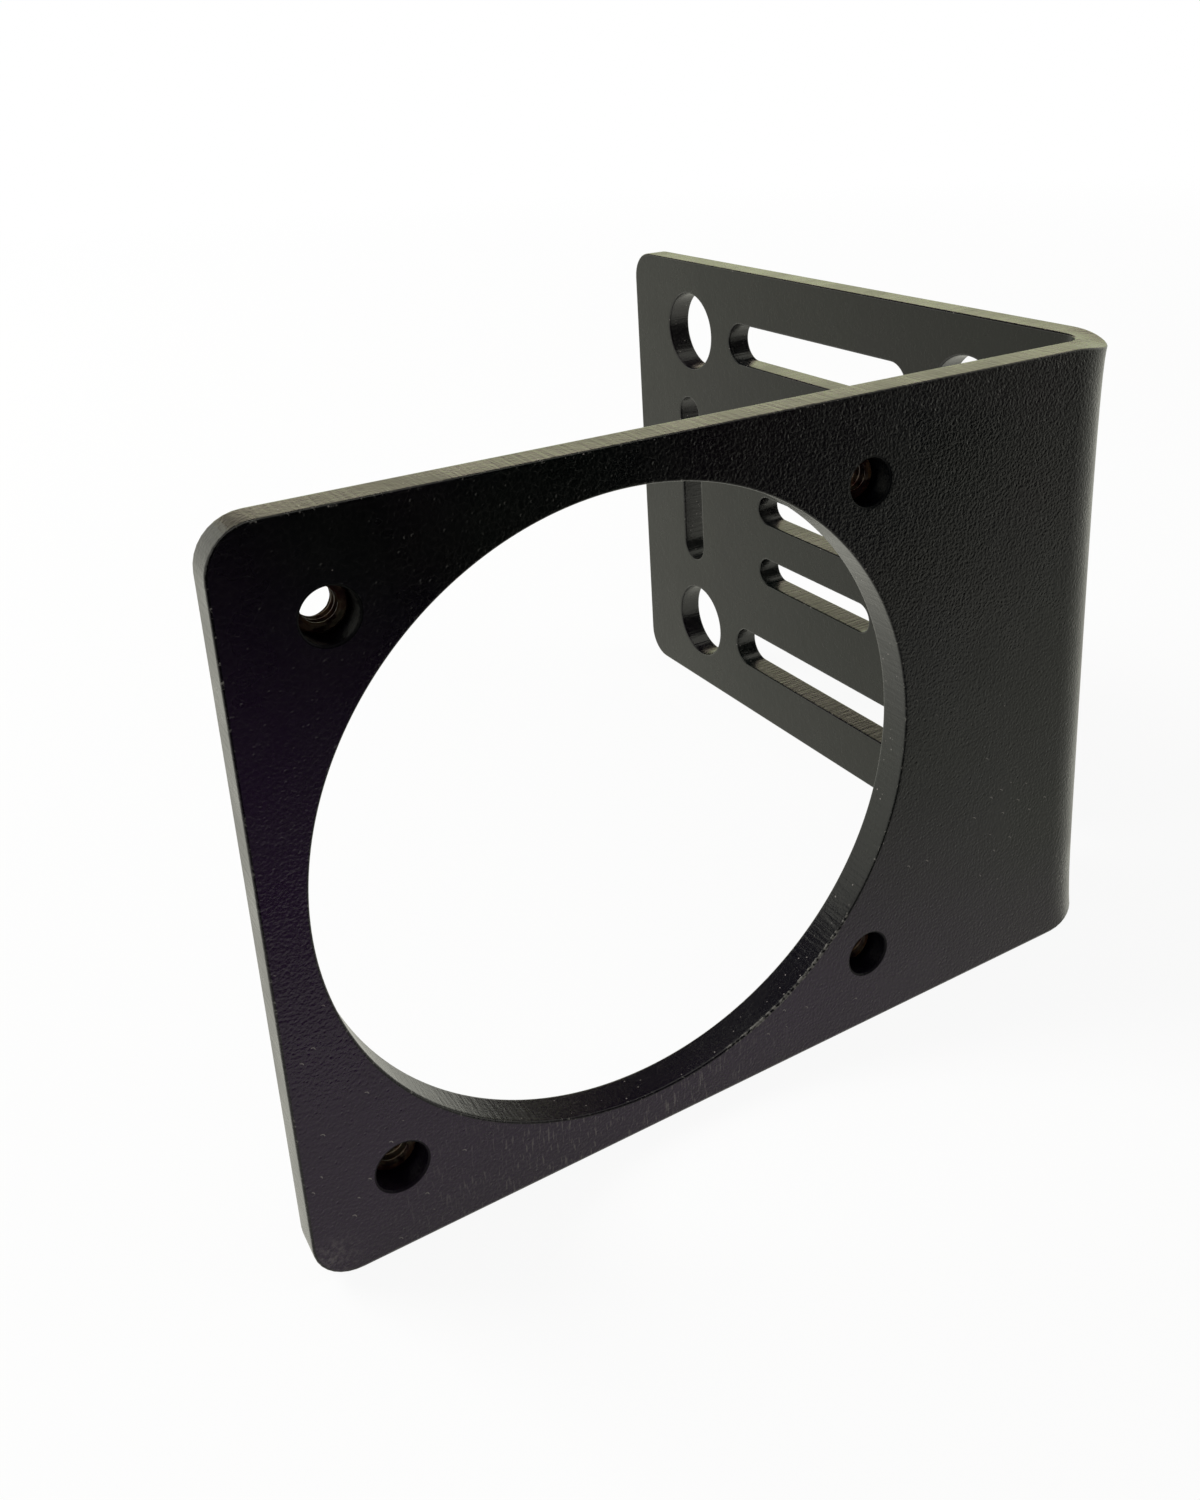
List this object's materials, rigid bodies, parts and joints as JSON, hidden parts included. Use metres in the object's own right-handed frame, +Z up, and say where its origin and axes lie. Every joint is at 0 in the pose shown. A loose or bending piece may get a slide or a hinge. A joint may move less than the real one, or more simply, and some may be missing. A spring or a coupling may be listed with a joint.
{
  "type": "shore power bracket",
  "caption": "Right-angle folded steel bracket that holds a round shore power inlet on its front flange and bolts to a wall or post through the round and slotted holes of its rear flange.",
  "frame": {"origin": "middle of the footprint's box, on the surface that the bracket's lower edges stand on", "axes": "+Z up along the fold; the front flange faces -Y and the rear flange's mounting face looks to +X, so the fold is at +X -Y"},
  "size_m": [0.129, 0.13, 0.093],
  "materials": {
    "powder_coat": "fine-textured satin black powder coat on folded steel sheet",
    "nut_steel": "black powder coat on the barrel, bare steel with light rust in the thread"
  },
  "bodies": {
    "root": {"angle_plate": "powder_coat", "clinch_nut_upper_left": "nut_steel", "clinch_nut_upper_right": "nut_steel", "clinch_nut_lower_left": "nut_steel", "clinch_nut_lower_right": "nut_steel"}
  },
  "joints": []
}
